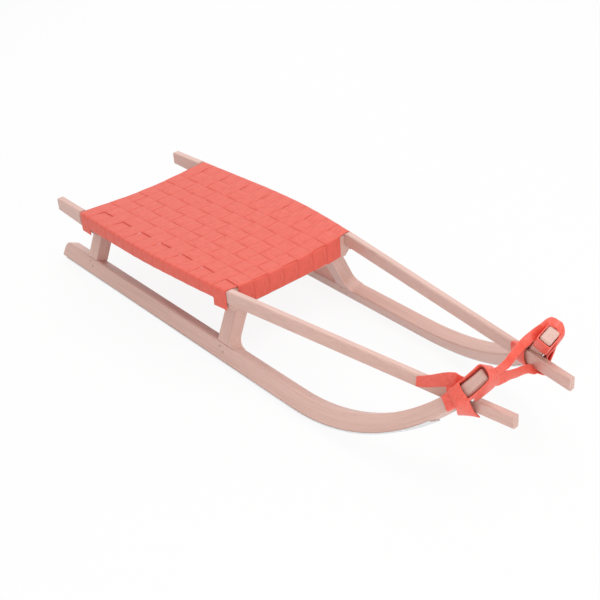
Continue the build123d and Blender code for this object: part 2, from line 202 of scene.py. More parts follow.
def grain(tree, shader, place):
    """Draws the grain on coordinates whose x runs along the stick, in metres."""
    streaks = noise(tree, stretched(tree, place, STREAKS), STREAK_DETAIL, **STREAK_WANDER)
    broad = noise(tree, stretched(tree, place, BROAD_BANDS), BROAD_DETAIL)
    both = math_node(tree, "ADD", math_node(tree, "MULTIPLY", streaks, STREAK_SHARE),
                     math_node(tree, "MULTIPLY", broad, 1 - STREAK_SHARE))
    specks = noise(tree, stretched(tree, place, FLECKS), FLECK_DETAIL)
    share = brought_to(tree, specks, 0.0, FLECK_SHARE, FLECK_START, FLECK_FULL)
    colour = mixed_colour(tree, share, ramp(tree, both, WOOD_SHADES), FLECK)
    tree.links.new(colour, shader.inputs["Base Color"])
    tree.links.new(brought_to(tree, streaks, *WOOD_ROUGHNESS), shader.inputs["Roughness"])
    relief(tree, shader, both, GRAIN_STRENGTH, GRAIN_HEIGHT)


print("streaks are about", round(1000 / STREAKS[1], 1), "mm across")

# %% [markdown]
# Legs and beams are straight and the rails nearly so, and their coordinates only need a turn that brings
# the stick's length onto x. The runners were steamed and bent, and their grain follows the bend. Their
# graph first unrolls the bend into a straight stick and then draws the same grain on it.

# %% Straight wood and bent wood
VARNISH = {"Coat_Weight": 0.40, "Coat_Roughness": 0.34}
LEAN = radians(24.0)
PLANE_Y = 0.158946
PLANE_Z = 0.007165
BEND_START = 0.18736
BEND_RADIUS = 0.404


def straight_wood(name, turn=(0.0, 0.0, 0.0), shift=(0.0, 0.0, 0.0)):
    """Wood for a straight stick. The turn brings the stick's length onto x."""
    material, tree, shader = new_material(name, **VARNISH)
    values = {"Vector": object_place(tree), "Location": shift, "Rotation": turn}
    grain(tree, shader, result_of(tree, "ShaderNodeMapping", values))
    return material


def bent_wood(name, hand):
    """Wood for a runner: its leaning plane is unrolled so that the grain follows the bend."""
    material, tree, shader = new_material(name, **VARNISH)
    split = add_node(tree, "ShaderNodeSeparateXYZ", {"Vector": object_place(tree)}).outputs
    ahead = math_node(tree, "SUBTRACT", split["X"], BEND_START)
    side = math_node(tree, "SUBTRACT", math_node(tree, "MULTIPLY", split["Y"], hand), PLANE_Y)
    high = math_node(tree, "SUBTRACT", split["Z"], PLANE_Z)
    up_slant = math_node(tree, "SUBTRACT", math_node(tree, "MULTIPLY", high, cos(LEAN)),
                         math_node(tree, "MULTIPLY", side, sin(LEAN)))
    through = math_node(tree, "ADD", math_node(tree, "MULTIPLY", side, cos(LEAN)),
                        math_node(tree, "MULTIPLY", high, sin(LEAN)))
    inwards = math_node(tree, "SUBTRACT", BEND_RADIUS, up_slant)
    bent = math_node(tree, "MAXIMUM", ahead, 0.0)
    behind = math_node(tree, "MINIMUM", ahead, 0.0)
    angle = math_node(tree, "ARCTAN2", bent, inwards)
    along = math_node(tree, "ADD", behind, math_node(tree, "MULTIPLY", angle, BEND_RADIUS))
    square = math_node(tree, "ADD", math_node(tree, "MULTIPLY", bent, bent),
                       math_node(tree, "MULTIPLY", inwards, inwards))
    depth = math_node(tree, "SUBTRACT", BEND_RADIUS, math_node(tree, "SQRT", square))
    grain(tree, shader, result_of(tree, "ShaderNodeCombineXYZ", {"X": along, "Y": depth, "Z": through}))
    return material


print("the runners bend from", BEND_START, "m on, with a radius of", BEND_RADIUS, "m")

# %% [markdown]
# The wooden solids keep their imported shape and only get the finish. They could all share one material,
# but then the grain would cross the legs and beams instead of following them. So each stick has its own,
# and rails and legs are shifted within the pattern, as if the sides came from other parts of the plank.

# %% Wood on the sticks
SIDES = (("left", 1), ("right", -1))
ENDS = ("front", "rear")
RAIL_SHIFT = (0.3, 0.2, 0.1)
LEG_SHIFT = (0.1, 0.4, 0.0)


def dress(node, material):
    """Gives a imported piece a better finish."""
    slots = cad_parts[node].data.materials
    slots.clear()
    slots.append(material)


def shifted(shift, sign):
    """Another part of the plank for each side of the sled."""
    return (shift[0] * sign, shift[1], shift[2])


sticks = {}
for hand, sign in SIDES:
    sticks["runner_" + hand] = bent_wood("bent_wood_" + hand, sign)
    sticks["rail_" + hand] = straight_wood("rail_wood_" + hand, shift=shifted(RAIL_SHIFT, sign))
    for end in ENDS:
        upright = (-sign * LEAN, pi / 2, 0)
        leg = straight_wood("%s_leg_wood_%s" % (end, hand), turn=upright, shift=shifted(LEG_SHIFT, sign))
        sticks["%s_leg_%s" % (end, hand)] = leg
for end in ENDS:
    sticks[end + "_beam"] = straight_wood(end + "_beam_wood", turn=(0, 0, pi / 2))
for node, wood in sticks.items():
    dress(node, wood)
print("wood on", len(sticks), "sticks")

# %% [markdown]
# The dowels show as small dots of end grain, darker than the wood round them, with pores instead of
# streaks. The shoes are rolled steel strip. Their brushed lines run along the sled, as use on the snow
# leaves them, so the noise is stretched that way and drives both the shade and the gloss.

# %% Dowels and shoes
DOWEL_SHADES = ((0.35, (0.46, 0.29, 0.22)), (0.65, (0.60, 0.40, 0.31)))
DOWEL_ROUGHNESS = 0.6
DOWEL_PORES = 900.0
STEEL_SHADES = ((0.30, (0.68, 0.68, 0.69)), (0.70, (0.84, 0.84, 0.84)))
STEEL_ROUGHNESS = (0.20, 0.36)
STEEL_LINES = (6.0, 900.0, 900.0)
FINE_DETAIL = 3.0


def end_grain():
    material, tree, shader = new_material("dowel_end_grain", Roughness=DOWEL_ROUGHNESS)
    pores = noise(tree, object_place(tree), FINE_DETAIL, scale=DOWEL_PORES)
    tree.links.new(ramp(tree, pores, DOWEL_SHADES), shader.inputs["Base Color"])
    return material


def rolled_steel():
    material, tree, shader = new_material("rolled_steel", Metallic=1.0)
    lines = noise(tree, stretched(tree, object_place(tree), STEEL_LINES), FINE_DETAIL)
    tree.links.new(ramp(tree, lines, STEEL_SHADES), shader.inputs["Base Color"])
    tree.links.new(brought_to(tree, lines, *STEEL_ROUGHNESS), shader.inputs["Roughness"])
    return material


dowel = end_grain()
steel = rolled_steel()
for hand, _ in SIDES:
    dress("shoe_" + hand, steel)
    for end in ENDS:
        dress("%s_pins_%s" % (end, hand), dowel)
print("dressed with", dowel.name, "and", steel.name)

# %% [markdown]
# The seat is woven from red webbing: bands from rail to rail, and lengthwise bands that pass over one
# and under the next. It could be one sheet with a woven picture on it, but then its edges and folds
# would be flat. So every band is its own ribbon, and its line comes from the rails that carry it.
# A rail is told by four lines, each with its value at the rear end, at the bend and at the tip.

# %% Lines of the rails and the seat
RAIL_REAR_X = -0.586
RAIL_BEND_X = 0.430
RAIL_LENGTH = 1.172
RAIL_BEND_RADIUS = 2.0
OUTER_LINE = (0.1569, 0.1689, 0.0704)
INNER_LINE = (0.1409, 0.1544, 0.0584)
TOP_LINE = (0.1412, 0.1562, 0.1575)
UNDER_LINE = (0.1082, 0.1272, 0.1335)
REBATE_TOP = 0.0024
BAND_THICK = 0.0014
SEAT_SAG = 0.008


def rail_at(line, x):
    """A line of the rail at a distance from its rear end, with the arc of the bend."""
    rear, bend, tip = line
    before = atan2(bend - rear, RAIL_BEND_X)
    after = atan2(tip - bend, RAIL_LENGTH - RAIL_BEND_X)
    reach = RAIL_BEND_RADIUS * tan(abs(after - before) / 2)
    start = RAIL_BEND_X - reach * cos(before)
    if x < start:
        return bend + (x - RAIL_BEND_X) * tan(before)
    if x > RAIL_BEND_X + reach * cos(after):
        return bend + (x - RAIL_BEND_X) * tan(after)
    hand = 1 if after > before else -1
    from_centre = x - start + hand * RAIL_BEND_RADIUS * sin(before)
    centre = bend - reach * sin(before) + hand * RAIL_BEND_RADIUS * cos(before)
    return centre - hand * sqrt(RAIL_BEND_RADIUS ** 2 - from_centre ** 2)


def placed(x, y, z):
    """A place in the sled's frame, with x measured from the rear end of the rails."""
    return Vector((x + RAIL_REAR_X, y, z))


def seat_height(x, y):
    """Middle of the weave, which sags between the rails."""
    edge = rail_at(INNER_LINE, x)
    sag = SEAT_SAG * max(0.0, 1 - (y / edge) ** 2)
    return rail_at(TOP_LINE, x) - REBATE_TOP + BAND_THICK - sag


def slope(value, place, reach):
    """How fast a value changes about a place."""
    return (value(place + reach) - value(place - reach)) / (2 * reach)


print("over the rails' bend the sled is", round(2 * rail_at(OUTER_LINE, RAIL_BEND_X), 3), "m wide")

# %% [markdown]
# In the weave a band keeps its height across a cell and dives within about two millimetres where it
# changes sides. A plain wave would be simpler, but it would round the whole cell like a rope, and webbing
# stays flat. Each cell only swells a little, and the points lie closer together at the dives.

# %% Over and under
CROSS_BANDS = 14
LONG_BANDS = 7
SEAT_REAR = 0.0972
CROSS_PITCH = 0.0344
LONG_PITCH = 0.03484
CROSS_STARTS = [SEAT_REAR + number * CROSS_PITCH for number in range(CROSS_BANDS)]
LONG_STARTS = [(number - LONG_BANDS / 2) * LONG_PITCH for number in range(LONG_BANDS)]
WEAVE_CLEAR = 0.0001
DIVE = 0.0022
PILLOW = 0.0003
CELL_STEPS = 14
CELL_CROWDING = 0.352


def smooth(share):
    share = min(max(share, 0.0), 1.0)
    return share * share * (3 - 2 * share)


def cross_is_over(cross, long):
    return (cross + long) % 2 == 0


def weave_lift(place, starts, over):
    """Height of a band above the weave's middle, where it passes cells that start at the given places."""
    pitch = starts[1] - starts[0]
    lift = (BAND_THICK + WEAVE_CLEAR) / 2
    signs = [1 if flag else -1 for flag in over]
    height = signs[0]
    for index in range(1, len(starts)):
        share = (place - starts[index]) / DIVE + 0.5
        height += (signs[index] - signs[index - 1]) * smooth(share)
    cell = min(max(int((place - starts[0]) // pitch), 0), len(starts) - 1)
    within = (place - starts[cell]) / pitch
    swell = PILLOW * max(0.0, 1 - (2 * within - 1) ** 2) if 0 <= within <= 1 else 0.0
    return lift * height + swell * signs[cell]


def cell_places(starts, pitch):
    """Places along a band, close together where it dives."""
    places = []
    for start in starts:
        for step in range(CELL_STEPS):
            share = step / CELL_STEPS
            places.append(start + pitch * (share - CELL_CROWDING * sin(2 * pi * share) / pi))
    places.append(starts[-1] + pitch)
    return places


print("places along a cross band:", len(cell_places(LONG_STARTS, LONG_PITCH)))

# %% [markdown]
# Where webbing goes round a rail or a beam it doesn't crease. A bevel of the finished ribbon would thin it
# at the corner, so the line itself is rounded before the ribbon is swept.

# %% Rounded corners
CORNER = 0.0045
CORNER_STEPS = 5
CORNER_SHARE = 0.45
STRAIGHT_ENOUGH = 0.05


def rounded(points, radius):
    """A line of points with its corners rounded."""
    line = [points[0]]
    for before, corner, after in zip(points, points[1:], points[2:]):
        into = (corner - before).normalized()
        out = (after - corner).normalized()
        if into.angle(out, 0.0) < STRAIGHT_ENOUGH:
            line.append(corner)
            continue
        reach = min(radius, CORNER_SHARE * (corner - before).length, CORNER_SHARE * (after - corner).length)
        first = corner - into * reach
        last = corner + out * reach
        for step in range(CORNER_STEPS + 1):
            share = step / CORNER_STEPS
            line.append((1 - share) ** 2 * first + 2 * share * (1 - share) * corner + share ** 2 * last)
    line.append(points[-1])
    return line


print("corners of the bands are rounded within", 1000 * CORNER, "mm")

# %% [markdown]
# A cross band goes from under one rail, round it, over the seat and round the other rail. At the two
# trestles the beam is in the way, so there the band ends as a short flap on the rail's side. Only the
# left end is worked out, and the right one mirrors it.

# %% Line of a cross band
REBATE_SIDE = 0.0012
REBATE_BOTTOM = 0.0022
REAR_BEAM = (0.098, 0.096)
FRONT_BEAM = (0.548, 0.107)
BEAM_DEPTH = 0.030
BAND_CLEAR = 0.0004
FLAP_END = 0.008


def cross_line(number):
    """The line of a cross band, from under one rail to under the other, and its width directions."""
    x = CROSS_STARTS[number] + CROSS_PITCH / 2
    off = BAND_CLEAR + BAND_THICK / 2
    outer = rail_at(OUTER_LINE, x) - REBATE_SIDE + off
    inner = rail_at(INNER_LINE, x)
    top = rail_at(TOP_LINE, x) - REBATE_TOP + off
    under = rail_at(UNDER_LINE, x) + REBATE_BOTTOM - off
    ends = [(inner + REBATE_SIDE, under), (outer, under)]
    for beam_x, bottom in (REAR_BEAM, FRONT_BEAM):
        if beam_x < x < beam_x + BEAM_DEPTH + CROSS_PITCH / 2:
            ends = [(outer, bottom + FLAP_END)]
    ends += [(outer, top), (inner, top)]
    left = rounded([placed(x, y, z) for y, z in ends], CORNER)
    right = [Vector((p.x, -p.y, p.z)) for p in left]
    over = [cross_is_over(number, long) for long in range(LONG_BANDS)]
    woven = []
    for y in cell_places(LONG_STARTS, LONG_PITCH):
        woven.append(placed(x, y, seat_height(x, y) + weave_lift(y, LONG_STARTS, over)))
    climb = slope(lambda place: rail_at(TOP_LINE, place), x, CROSS_PITCH / 2)
    splay = slope(lambda place: rail_at(OUTER_LINE, place), x, CROSS_PITCH / 2)
    sides = [(1, -splay, climb)] * len(right)
    sides += [(1, 0, climb)] * len(woven)
    sides += [(1, splay, climb)] * len(left)
    return right + woven + left[::-1], [Vector(side).normalized() for side in sides]


print("points on a cross band:", len(cross_line(3)[0]))

# %% [markdown]
# A lengthwise band is woven over and under the cross bands and folds down over the face of each beam. Its
# width tilts with the sag of the seat, so that it lies flat on the bands it crosses.

# %% Line of a lengthwise band
FOLD_CLEAR = 0.0012
FOLD_END = 0.003


def long_line(number):
    """The line of a lengthwise band, folded down over each beam's face, and its width directions."""
    y = LONG_STARTS[number] + LONG_PITCH / 2
    off = FOLD_CLEAR + BAND_THICK / 2
    rear_face = REAR_BEAM[0] - off
    front_face = FRONT_BEAM[0] + BEAM_DEPTH + off
    over = [not cross_is_over(cross, number) for cross in range(CROSS_BANDS)]
    woven = []
    for x in cell_places(CROSS_STARTS, CROSS_PITCH):
        if rear_face + CORNER < x < front_face - CORNER:
            woven.append((x, seat_height(x, y) + weave_lift(x, CROSS_STARTS, over)))
    rear = [(rear_face, REAR_BEAM[1] + FOLD_END), (rear_face, woven[0][1]), woven[0]]
    front = [woven[-1], (front_face, woven[-1][1]), (front_face, FRONT_BEAM[1] + FOLD_END)]
    points = rounded([placed(x, y, z) for x, z in rear], CORNER)[:-1]
    points += [placed(x, y, z) for x, z in woven]
    points += rounded([placed(x, y, z) for x, z in front], CORNER)[1:]
    tilts = [slope(lambda place: seat_height(p.x - RAIL_REAR_X, place), y, LONG_PITCH / 2) for p in points]
    return points, [Vector((0, 1, tilt)).normalized() for tilt in tilts]


print("points on a lengthwise band:", len(long_line(3)[0]))

# %% [markdown]
# The sweep is the same for every band, so one tree of geometry nodes serves them all. It rounds the
# section's edges, raises a slight crown, and can widen the band along its way. It keeps two measures on
# the mesh, along and across the band, so that the finish can draw the threads where they really run.

# %% Section and line of a ribbon
EDGE_STEPS = 2
SECTION_CUTS = 3
HALF_SQUARED = 0.25


def keep(tree, geometry, items):
    """Keeps values on a geometry, so that they can still be read after the sweep."""
    node = add_node(tree, "GeometryNodeCaptureAttribute", {"Geometry": geometry})
    for kind, name, value in items:
        node.capture_items.new(kind, name)
        tree.links.new(value, node.inputs[name])
    return node.outputs


def stored_on_line(tree, name, kind):
    return result_of(tree, "GeometryNodeInputNamedAttribute", {"Name": name}, data_type=kind)


def ribbon_section(tree, given):
    """The ribbon's section with eased edges and a crown, and the place across it."""
    sizes = {"Width": given["Width"], "Height": given["Thickness"]}
    plain = result_of(tree, "GeometryNodeCurvePrimitiveQuadrilateral", sizes)
    corners = {"Curve": plain, "Radius": given["Edge"], "Count": EDGE_STEPS}
    eased = result_of(tree, "GeometryNodeFilletCurve", corners, mode="POLY")
    split = result_of(tree, "GeometryNodeSubdivideCurve", {"Curve": eased, "Cuts": SECTION_CUTS})
    position = result_of(tree, "GeometryNodeInputPosition")
    across = add_node(tree, "ShaderNodeSeparateXYZ", {"Vector": position}).outputs["X"]
    share = math_node(tree, "DIVIDE", across, given["Width"])
    bow = math_node(tree, "SUBTRACT", HALF_SQUARED, math_node(tree, "MULTIPLY", share, share))
    full_bow = math_node(tree, "MULTIPLY", bow, 1 / HALF_SQUARED)
    rise = math_node(tree, "MULTIPLY", full_bow, given["Crown"])
    lift = result_of(tree, "ShaderNodeCombineXYZ", {"Y": rise})
    crowned = result_of(tree, "GeometryNodeSetPosition", {"Geometry": split, "Offset": lift})
    return keep(tree, crowned, [("FLOAT", "across", across)])


def ribbon_line(tree, given):
    """The ribbon's line with the directions of its width, and the measures that go with it."""
    line = result_of(tree, "GeometryNodeMeshToCurve", {"Mesh": given["Geometry"]})
    side = stored_on_line(tree, "side", "FLOAT_VECTOR")
    spread = stored_on_line(tree, "spread", "FLOAT")
    turned = result_of(tree, "GeometryNodeSetCurveNormal", {"Curve": line, "Normal": side}, mode="FREE")
    length = add_node(tree, "GeometryNodeSplineParameter").outputs["Length"]
    items = [("FLOAT", "along", length), ("VECTOR", "side", side), ("FLOAT", "spread", spread)]
    return keep(tree, turned, items)


print("a section's edges are eased in", EDGE_STEPS, "steps")

# %% [markdown]
# The tree puts the two together. Its sizes and its material are named inputs, so that webbing and leather
# come from the same tree. It ends in real geometry with its material set, which an export can read.

# %% Tree that sweeps a ribbon
def ribbon_tree():
    tree = bpy.data.node_groups.new("ribbon_sweep", "GeometryNodeTree")
    face = tree.interface
    face.new_socket("Geometry", in_out="INPUT", socket_type="NodeSocketGeometry")
    for name in ("Width", "Thickness", "Edge", "Crown"):
        face.new_socket(name, in_out="INPUT", socket_type="NodeSocketFloat")
    face.new_socket("Material", in_out="INPUT", socket_type="NodeSocketMaterial")
    face.new_socket("Geometry", in_out="OUTPUT", socket_type="NodeSocketGeometry")
    given = tree.nodes.new("NodeGroupInput").outputs
    section = ribbon_section(tree, given)
    line = ribbon_line(tree, given)
    parts = {"Curve": line["Geometry"], "Profile Curve": section["Geometry"], "Fill Caps": True}
    swept = result_of(tree, "GeometryNodeCurveToMesh", parts)
    reach = math_node(tree, "MULTIPLY", section["across"], line["spread"])
    push = result_of(tree, "ShaderNodeVectorMath", {0: line["side"], "Scale": reach}, operation="SCALE")
    widened = result_of(tree, "GeometryNodeSetPosition", {"Geometry": swept, "Offset": push})
    measures = result_of(tree, "ShaderNodeCombineXYZ", {"X": line["along"], "Y": section["across"]})
    kept = {"Geometry": widened, "Name": "ribbon", "Value": measures}
    as_vector = {"data_type": "FLOAT_VECTOR", "domain": "POINT"}
    stored = result_of(tree, "GeometryNodeStoreNamedAttribute", kept, **as_vector)
    smoothed = result_of(tree, "GeometryNodeSetShadeSmooth", {"Geometry": stored})
    real = result_of(tree, "GeometryNodeRealizeInstances", {"Geometry": smoothed})
    finish = {"Geometry": real, "Material": given["Material"]}
    finished = result_of(tree, "GeometryNodeSetMaterial", finish)
    tree.links.new(finished, tree.nodes.new("NodeGroupOutput").inputs["Geometry"])
    return tree


RIBBON = ribbon_tree()
print("nodes in the ribbon's tree:", len(RIBBON.nodes))

# %% [markdown]
# To use the tree, a line of points becomes a mesh of edges that carries the width directions. The result
# is then taken off as a plain mesh, because the pieces are handed on without modifiers.

# %% Ribbon along a line
def plain_mesh(source, name):
    """The evaluated result of an object's modifiers, as an object of its own."""
    mesh = bpy.data.meshes.new_from_object(source.evaluated_get(bpy.context.evaluated_depsgraph_get()))
    mesh.name = name
    result = bpy.data.objects.new(name, mesh)
    scene.collection.objects.link(result)
    bpy.data.objects.remove(source)
    return result


def ribbon(name, points, sides, width, thickness, edge, crown, material, spread=None):
    """A ribbon swept along a line of points, with the direction of its width at each point."""
    line = bpy.data.meshes.new(name + "_line")
    line.from_pydata([tuple(p) for p in points], [(i, i + 1) for i in range(len(points) - 1)], [])
    directions = line.attributes.new("side", "FLOAT_VECTOR", "POINT")
    directions.data.foreach_set("vector", [value for side in sides for value in side])
    widening = line.attributes.new("spread", "FLOAT", "POINT")
    widening.data.foreach_set("value", spread or [0.0] * len(points))
    carrier = bpy.data.objects.new(name + "_line", line)
    scene.collection.objects.link(carrier)
    sweep = carrier.modifiers.new("sweep", "NODES")
    sweep.node_group = RIBBON
    values = {"Width": width, "Thickness": thickness, "Edge": edge, "Crown": crown, "Material": material}
    for item in RIBBON.interface.items_tree:
        if item.in_out == "INPUT" and item.name in values:
            sweep[item.identifier] = values[item.name]
    return plain_mesh(carrier, name)


def line_length(points):
    return sum((b - a).length for a, b in zip(points, points[1:]))


print("a lengthwise band's line is", round(line_length(long_line(3)[0]), 3), "m long")

# %% [markdown]
# Webbing is itself a small weave: fine ribs run along the band and the weft crosses them. Two waves,
# multiplied, give that check of threads. They read the band's own measures and not the sled's
# coordinates, so the ribs turn with the band over the rails.

# %% Webbing finish
WEB_LIGHT = (0.79, 0.120, 0.081)
WEB_DARK = (0.70, 0.078, 0.051)
WEB_SHADES = ((0.20, WEB_DARK), (0.62, WEB_LIGHT))
WEB_SHEEN = {"Sheen_Weight": 0.25, "Sheen_Roughness": 0.45, "Sheen_Tint": (1.0, 0.72, 0.66, 1)}
WEB_ROUGHNESS = 0.62
RIB_PITCH = 0.0016
WEFT_PITCH = 0.0011
THREAD_SHARE = 0.14
THREAD_STRENGTH = 0.25
THREAD_HEIGHT = 0.0003
UNEVEN_DYE = (60.0, 160.0, 1.0)


def waves(tree, measure, pitch):
    return math_node(tree, "SINE", math_node(tree, "MULTIPLY", measure, 2 * pi / pitch))


def webbing():
    material, tree, shader = new_material("red_webbing", Roughness=WEB_ROUGHNESS, **WEB_SHEEN)
    place = add_node(tree, "ShaderNodeAttribute", attribute_name="ribbon").outputs["Vector"]
    split = add_node(tree, "ShaderNodeSeparateXYZ", {"Vector": place}).outputs
    ribs = waves(tree, split["Y"], RIB_PITCH)
    weft = waves(tree, split["X"], WEFT_PITCH)
    threads = math_node(tree, "MULTIPLY", ribs, weft)
    uneven = noise(tree, stretched(tree, place, UNEVEN_DYE), FINE_DETAIL)
    tone = math_node(tree, "ADD", math_node(tree, "MULTIPLY", threads, THREAD_SHARE), uneven)
    tree.links.new(ramp(tree, tone, WEB_SHADES), shader.inputs["Base Color"])
    relief(tree, shader, threads, THREAD_STRENGTH, THREAD_HEIGHT)
    return material


WEBBING = webbing()
print("ribs across a band:", int(CROSS_PITCH / RIB_PITCH))

# %% [markdown]
# Now the bands themselves. Each one stands for its imported solid, which is hidden, and is swept along its
# own line with the width of the webbing less a narrow slot.

# %% Woven seat
BAND_SLOT = 0.0003
BAND_EDGE = 0.0005
BAND_CROWN = 0.0002


def weave_band(node, line, pitch):
    points, sides = line
    width = pitch - BAND_SLOT
    piece = ribbon(node + "_woven", points, sides, width, BAND_THICK, BAND_EDGE, BAND_CROWN, WEBBING)
    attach(piece, "root")
    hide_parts(node)
    return piece


bands = []
for number in range(CROSS_BANDS):
    node = "cross_band_%02d" % (number + 1)
    bands.append(weave_band(node, cross_line(number), CROSS_PITCH))
for number in range(LONG_BANDS):
    node = "long_band_%d" % (number + 1)
    bands.append(weave_band(node, long_line(number), LONG_PITCH))
print("bands:", len(bands), "faces:", sum(len(band.data.polygons) for band in bands))

# %% [markdown]
# The straps at the horns are flat red leather. Drawing them freely in the air would leave them beside the
# wood, so a strap's line goes through a few places that are told on the wood itself: an angle round the
# runner's bend with a rise and a reach outwards, or a distance along the rail.

# %% Places on the runners and rails
HORN_END = 62.58
RUNNER_HALF = 0.0135
RUNNER_DEPTH = 0.033
HORN_DEPTH = 0.020


def depth_at(angle):
    """Depth of the runner, which tapers along its bend."""
    return RUNNER_DEPTH + (HORN_DEPTH - RUNNER_DEPTH) * angle / radians(HORN_END)


def on_runner(hand, degrees, rise, out):
    """A place at an angle of the bend, raised from the underside and moved outwards from the middle."""
    reach = BEND_RADIUS - rise
    along = BEND_START + reach * sin(radians(degrees))
    slant = BEND_RADIUS - reach * cos(radians(degrees))
    side = PLANE_Y - slant * sin(LEAN) + out * cos(LEAN)
    return Vector((along, hand * side, PLANE_Z + slant * cos(LEAN) + out * sin(LEAN)))


def on_rail(hand, x, out, up):
    """A place on a rail: out is 0 at its inner face and 1 at the outer one, up is 0 at its underside."""
    inner = rail_at(INNER_LINE, x)
    outer = rail_at(OUTER_LINE, x)
    low = rail_at(UNDER_LINE, x)
    high = rail_at(TOP_LINE, x)
    return placed(x, hand * (inner + (outer - inner) * out), low + (high - low) * up)


def outwards(hand):
    return Vector((0, hand * cos(LEAN), sin(LEAN)))


def along_bend(hand, degrees):
    turn = radians(degrees)
    return Vector((cos(turn), -hand * sin(turn) * sin(LEAN), sin(turn) * cos(LEAN)))


def to_centre(hand, degrees):
    turn = radians(degrees)
    return Vector((-sin(turn), -hand * cos(turn) * sin(LEAN), cos(turn) * cos(LEAN)))


print("the horn's end is at", [round(v, 3) for v in on_runner(1, HORN_END, HORN_DEPTH / 2, 0)])

# %% [markdown]
# Between those places the strap flows. Straight runs would look folded, so a smooth line goes through all
# the stops. A stop has a place, the direction of the strap's width there, and how much wider it is.

# %% Flowing line of a strap
FLOW_STEPS = 8


def flowing(stops):
    """A smooth line through stops of place, width direction and widening."""
    points = []
    sides = []
    spreads = []
    last = len(stops) - 1
    for index in range(last):
        before = stops[max(index - 1, 0)][0]
        first, first_side, first_spread = stops[index]
        second, second_side, second_spread = stops[index + 1]
        after = stops[min(index + 2, last)][0]
        count = FLOW_STEPS + (1 if index == last - 1 else 0)
        for step in range(count):
            t = step / FLOW_STEPS
            points.append((2 * first + (second - before) * t
                           + (2 * before - 5 * first + 4 * second - after) * t ** 2
                           + (3 * first - before - 3 * second + after) * t ** 3) / 2)
            sides.append(first_side.lerp(second_side, t).normalized())
            spreads.append(first_spread + (second_spread - first_spread) * t)
    return points, sides, spreads


print("steps between two stops of a strap:", FLOW_STEPS)

# %% [markdown]
# Leather shows fine pores and a soft shine, and its colour is a little uneven. A picture of leather would
# have to be laid out along every strap, so the pattern is drawn from places in the sled's frame: cells
# give the pores their relief, and a broad noise the shades.

# %% Leather straps
LEATHER_SHADES = ((0.30, (0.78, 0.085, 0.055)), (0.70, (0.86, 0.135, 0.090)))
LEATHER_SHINE = {"Roughness": 0.42, "Coat_Weight": 0.15, "Coat_Roughness": 0.25}
LEATHER_SPOTS = 220.0
PORES = 1400.0
PORE_STRENGTH = 0.08
PORE_DEPTH = 0.0003
STRAP_THICK = 0.0024
STRAP_EDGE = 0.0007
STRAP_CROWN = 0.0


def strap_leather():
    material, tree, shader = new_material("red_strap", **LEATHER_SHINE)
    place = object_place(tree)
    spots = noise(tree, place, FINE_DETAIL, scale=LEATHER_SPOTS)
    tree.links.new(ramp(tree, spots, LEATHER_SHADES), shader.inputs["Base Color"])
    pores = add_node(tree, "ShaderNodeTexVoronoi", {"Vector": place, "Scale": PORES}).outputs["Distance"]
    relief(tree, shader, pores, PORE_STRENGTH, PORE_DEPTH)
    return material


STRAP = strap_leather()


def strap(name, node, stops, width):
    points, sides, spreads = flowing(stops)
    piece = ribbon(name, points, sides, width, STRAP_THICK, STRAP_EDGE, STRAP_CROWN, STRAP, spreads)
    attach(piece, "root")
    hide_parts(node)
    return piece


print("the straps are finished with", STRAP.name)

# %% [markdown]
# Two turns tie each runner to its rail. The inner turn is narrow and tight. The outer one is broad, lies
# across the runner's outer face, and runs on over the rail's outer face before it goes under the rail.
# Each could be drawn for itself, but both go the same way round, so one row of stops serves for both.

# %% Turns round the crossings
INNER_WIDTH = 0.0175
INNER_TURN = {"degrees": 51.1, "rail_x": 1.052, "off": 0.0018, "low_x": 1.074, "drop": -0.05, "clear": 1.2}
OUTER_WIDTH = 0.0240
OUTER_TURN = {"degrees": 54.3, "rail_x": 1.064, "off": 0.0054, "low_x": 1.097, "drop": -0.06, "clear": 1.5}
TURNS = (("inner_turn", INNER_WIDTH, INNER_TURN), ("outer_turn", OUTER_WIDTH, OUTER_TURN))
RAIL_TALL = 0.0245
RAIL_BROAD = 0.0124
RAIL_TOE_IN = 0.13
AT_EDGE = 0.7


def turn_of_strap(hand, degrees, rail_x, off, low_x, drop, clear):
    """A turn: inner face of the rail, over both woods, outer face of the runner, and back under the rail."""
    depth = depth_at(radians(degrees))
    on_wood = along_bend(hand, degrees)
    on_bar = Vector((1, -RAIL_TOE_IN * hand, 0))
    between = (on_wood + on_bar).normalized()
    lift = off / RAIL_TALL
    push = off / RAIL_BROAD
    middle_x = (rail_x + low_x) / 2
    return [
        (on_rail(hand, rail_x, -push, 0.5), on_bar, 0.0),
        (on_rail(hand, rail_x, -push * AT_EDGE, 1 + lift * AT_EDGE), on_bar, 0.0),
        (on_rail(hand, rail_x + 0.006, 0.6, 1 + lift * 1.5), between, 0.0),
        (on_runner(hand, degrees - 0.3, depth + off, 0.0), on_wood, 0.0),
        (on_runner(hand, degrees, depth + off * 0.6, RUNNER_HALF + off * 0.5), on_wood, 0.0),
        (on_runner(hand, degrees, depth / 2, RUNNER_HALF + off), on_wood, 0.0),
        (on_runner(hand, degrees, -off * 0.4, RUNNER_HALF + off * 0.6), on_wood, 0.1),
        (on_rail(hand, low_x, 1 + push * clear, drop), between, 0.3),
        (on_rail(hand, low_x, 0.75, -lift * 1.2), on_bar, 0.3),
        (on_rail(hand, middle_x, 0.1, -lift * 0.9), on_bar, 0.1),
        (on_rail(hand, rail_x + 0.004, -push * AT_EDGE, 0.12), on_bar, 0.0),
        (on_rail(hand, rail_x, -push, 0.5), on_bar, 0.0),
    ]


straps = []
for hand, sign in SIDES:
    for name, width, turn in TURNS:
        stops = turn_of_strap(sign, **turn)
        straps.append(strap("%s_%s" % (name, hand), "lashing_" + hand, stops, width))
print("turns:", len(straps))

